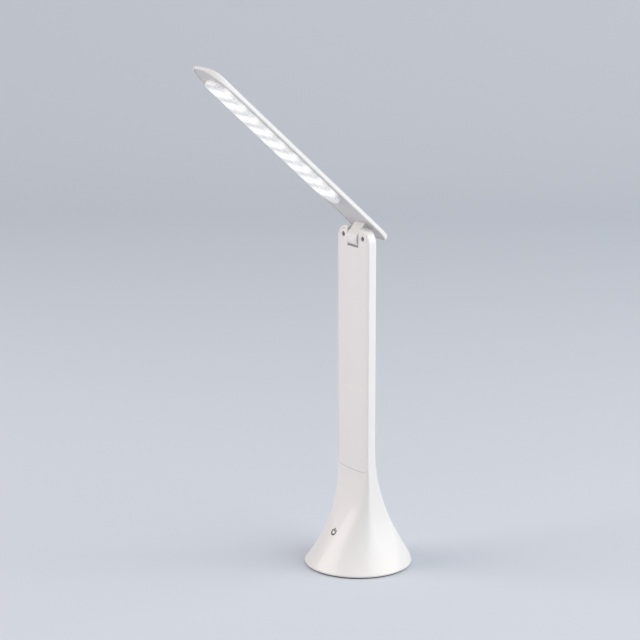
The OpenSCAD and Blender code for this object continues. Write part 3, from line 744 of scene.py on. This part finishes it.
def frosted_lens():
    """Frosted plastic, with the light of the lit LEDs behind it painted on as emission: brightest
    over each light, less between the pairs, uneven with noise, and a painted bright band along its
    sides."""
    material = surface("lens", (0.80, 0.80, 0.80), 0.24, grain=0.02, scale=4200, spread=0.06,
                       rough_spread=0.06)
    tree = material.node_tree
    shader = tree.nodes["Principled BSDF"]
    shader.inputs["Transmission Weight"].default_value = 0.2
    shader.inputs["IOR"].default_value = 1.49

    def math_node(operation, *values):
        node = tree.nodes.new("ShaderNodeMath")
        node.operation = operation
        for socket, value in zip(node.inputs, values):
            if isinstance(value, bpy.types.NodeSocket):
                tree.links.new(value, socket)
            else:
                socket.default_value = value
        return node.outputs["Value"]

    def ramp(value, start, end, at_start, at_end):
        node = tree.nodes.new("ShaderNodeMapRange")
        node.interpolation_type = "SMOOTHSTEP"
        for name, number in (("From Min", start), ("From Max", end), ("To Min", at_start),
                             ("To Max", at_end)):
            node.inputs[name].default_value = number
        tree.links.new(value, node.inputs["Value"])
        return node.outputs["Result"]

    # the point in the head's own frame, in millimetres
    place = tree.nodes.new("ShaderNodeTexCoord")
    on_head_frame = tree.nodes.new("ShaderNodeMapping")
    on_head_frame.vector_type = "TEXTURE"
    on_head_frame.inputs["Location"].default_value = (0, STEM_Y * MM, AXIS_Z * MM)
    on_head_frame.inputs["Rotation"].default_value = (math.radians(-HEAD_SLOPE), 0, 0)
    on_head_frame.inputs["Scale"].default_value = (MM, MM, MM)
    tree.links.new(place.outputs["Object"], on_head_frame.inputs["Vector"])
    point = tree.nodes.new("ShaderNodeSeparateXYZ")
    tree.links.new(on_head_frame.outputs["Vector"], point.inputs["Vector"])
    # noise that blurs the painted spots and adds a painted cloud of glow of its own
    glow_noise_node = tree.nodes.new("ShaderNodeTexNoise")
    glow_noise_node.inputs["Scale"].default_value = 0.5
    glow_noise_node.inputs["Detail"].default_value = 3.0
    glow_noise_node.inputs["Roughness"].default_value = 0.6
    tree.links.new(on_head_frame.outputs["Vector"], glow_noise_node.inputs["Vector"])
    glow_noise = glow_noise_node.outputs["Fac"]

    # along the head, how far it is from the nearest pair
    half_run = (LED_PAIRS - 1) / 2 * LED_PITCH
    off_middle = math_node("ADD", point.outputs["Y"], LED_FIRST + half_run)
    from_middle = math_node("ABSOLUTE", off_middle)
    past_end = math_node("SUBTRACT", from_middle, half_run)
    from_pair = math_node("PINGPONG", from_middle, LED_PITCH / 2)
    along = math_node("MAXIMUM", from_pair, past_end)
    # across the head, how far it is from the nearer row
    side = math_node("ABSOLUTE", point.outputs["X"])
    off_row = math_node("SUBTRACT", side, LED_ROW)
    outside = math_node("MULTIPLY", off_row, GLOW_OUTSIDE)
    between = math_node("MULTIPLY", off_row, GLOW_BETWEEN)
    across = math_node("MAXIMUM", outside, between)

    squares = [math_node("POWER", distance, 2.0) for distance in (along, across)]
    away = math_node("SQRT", math_node("ADD", *squares))
    blurred = math_node("MULTIPLY_ADD", glow_noise, GLOW_NOISE_BLUR, away)
    spots = ramp(blurred, GLOW_NEAR, GLOW_FAR, SPOT_GLOW, 0.0)
    cloud = ramp(glow_noise, NOISE_LOW, NOISE_HIGH, *CLOUD_GLOW)
    edge = ramp(side, *[LENS_W / 2 - inset for inset in EDGE_BAND], 0.0, EDGE_GLOW)
    # the painted glow as emission: spots over the lights, the noise's cloud and the band along the
    # sides
    glow = math_node("ADD", math_node("ADD", spots, cloud), edge)
    tree.links.new(glow, shader.inputs["Emission Strength"])
    shader.inputs["Emission Color"].default_value = (1.0, 0.99, 0.965, 1)
    return material


def lit_led():
    material = surface("led", (1.0, 0.98, 0.92), 0.2, scale=600, spread=0.01)
    shader = material.node_tree.nodes["Principled BSDF"]
    shader.inputs["Emission Color"].default_value = (1.0, 0.985, 0.95, 1)
    shader.inputs["Emission Strength"].default_value = LED_STRENGTH
    return material


NODE_MATERIALS = {
    "base_plate": white,
    "anti_slip_pad": rubber,
    "ballast_weight": iron,
    "battery_cradle": inner_white,
    "battery_pack": battery_blue,
    "control_board": green_board,
    "charging_socket": steel,
    "touch_leaf": brass,
    "base_screws": steel,
    "cover_screws": dark_steel,
    "stem_lead": lead_grey,
    "hinge_pin": steel,
    "friction_washers": steel,
    "tongue_screws": steel,
    "reflector": board_white,
    "led_board": board_white,
    "board_screws": steel,
    "leds": lit_led(),
    "head_lead": lead_grey,
}
for node_name, node_material in NODE_MATERIALS.items():
    node_mesh = nodes[node_name].data
    node_mesh.materials.clear()
    node_mesh.materials.append(node_material)

# ---------- the finer pieces ----------

for made, cad_node, slot_name in (
    (make_stand(white), "stand_shell", "white_shell"),
    (make_cover(white), "stem_front_cover", "white_shell"),
    (make_tongue(white), "hinge_tongue", "white_shell"),
    (make_head_shell(white), "head_top_shell", "white_shell"),
    (make_under_panel(panel_grey), "head_under_cover", "under_cover"),
    (make_lens(frosted_lens()), "led_lens", "lens"),
):
    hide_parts(cad_node)
make_power_mark(mark_grey)

# ---------- floor and light, in metres ----------

SWEEP_NEAR = 3.0
SWEEP_FLAT = 1.6
SWEEP_R = 1.0
SWEEP_H = 4.0
SWEEP_HALF_W = 4.0


def make_sweep():
    """Floor that curves up into a backdrop, behind the lamp as the camera sees it."""
    ahead = Vector((-math.sin(VIEW_AZIMUTH), math.cos(VIEW_AZIMUTH), 0))
    across = Vector((math.cos(VIEW_AZIMUTH), math.sin(VIEW_AZIMUTH), 0))
    profile = [(-SWEEP_NEAR, 0.0)]
    for a in np.radians(range(0, 91, 6)):
        profile.append((SWEEP_FLAT + SWEEP_R * math.sin(a), SWEEP_R - SWEEP_R * math.cos(a)))
    profile.append((SWEEP_FLAT + SWEEP_R, SWEEP_H))
    verts = [ahead * u + across * w + Vector((0, 0, z))
             for u, z in profile for w in (-SWEEP_HALF_W, SWEEP_HALF_W)]
    faces = [(2 * k, 2 * k + 1, 2 * k + 3, 2 * k + 2) for k in range(len(profile) - 1)]
    mesh = bpy.data.meshes.new("sweep")
    mesh.from_pydata(verts, [], faces)
    mesh.polygons.foreach_set("use_smooth", [True] * len(faces))
    sweep = bpy.data.objects.new("sweep", mesh)
    bpy.context.scene.collection.objects.link(sweep)
    finish = bpy.data.materials.new("sweep")
    finish.use_nodes = True
    shader = finish.node_tree.nodes["Principled BSDF"]
    shader.inputs["Base Color"].default_value = (0.62, 0.66, 0.72, 1)
    shader.inputs["Roughness"].default_value = 0.8
    mesh.materials.append(finish)


def softbox(name, place, target, size, power, colour=(1, 1, 1)):
    data = bpy.data.lights.new(name, "AREA")
    data.shape = "RECTANGLE"
    data.size, data.size_y = size
    data.energy = power
    data.color = colour
    light = bpy.data.objects.new(name, data)
    light.location = place
    light.rotation_euler = (Vector(target) - Vector(place)).to_track_quat("-Z", "Y").to_euler()
    bpy.context.scene.collection.objects.link(light)


make_sweep()
softbox("front", place=(-0.97, -1.68, 1.23), target=(0, 0, 0.2), size=(1.6, 1.6), power=25,
        colour=(1.0, 0.90, 0.875))
softbox("side", place=(1.85, 1.07, 1.2), target=(0, 0, 0.25), size=(2.6, 2.3), power=42)
softbox("top", place=(0.7, 1.7, 1.9), target=(0, 0, 0.35), size=(1.4, 1.4), power=8,
        colour=(0.94, 0.97, 1.0))

world = bpy.data.worlds.new("world")
world.use_nodes = True
background = world.node_tree.nodes["Background"]
background.inputs["Color"].default_value = (1, 1, 1, 1)
background.inputs["Strength"].default_value = 0.5
bpy.context.scene.world = world

bpy.context.scene.view_settings.view_transform = "Standard"
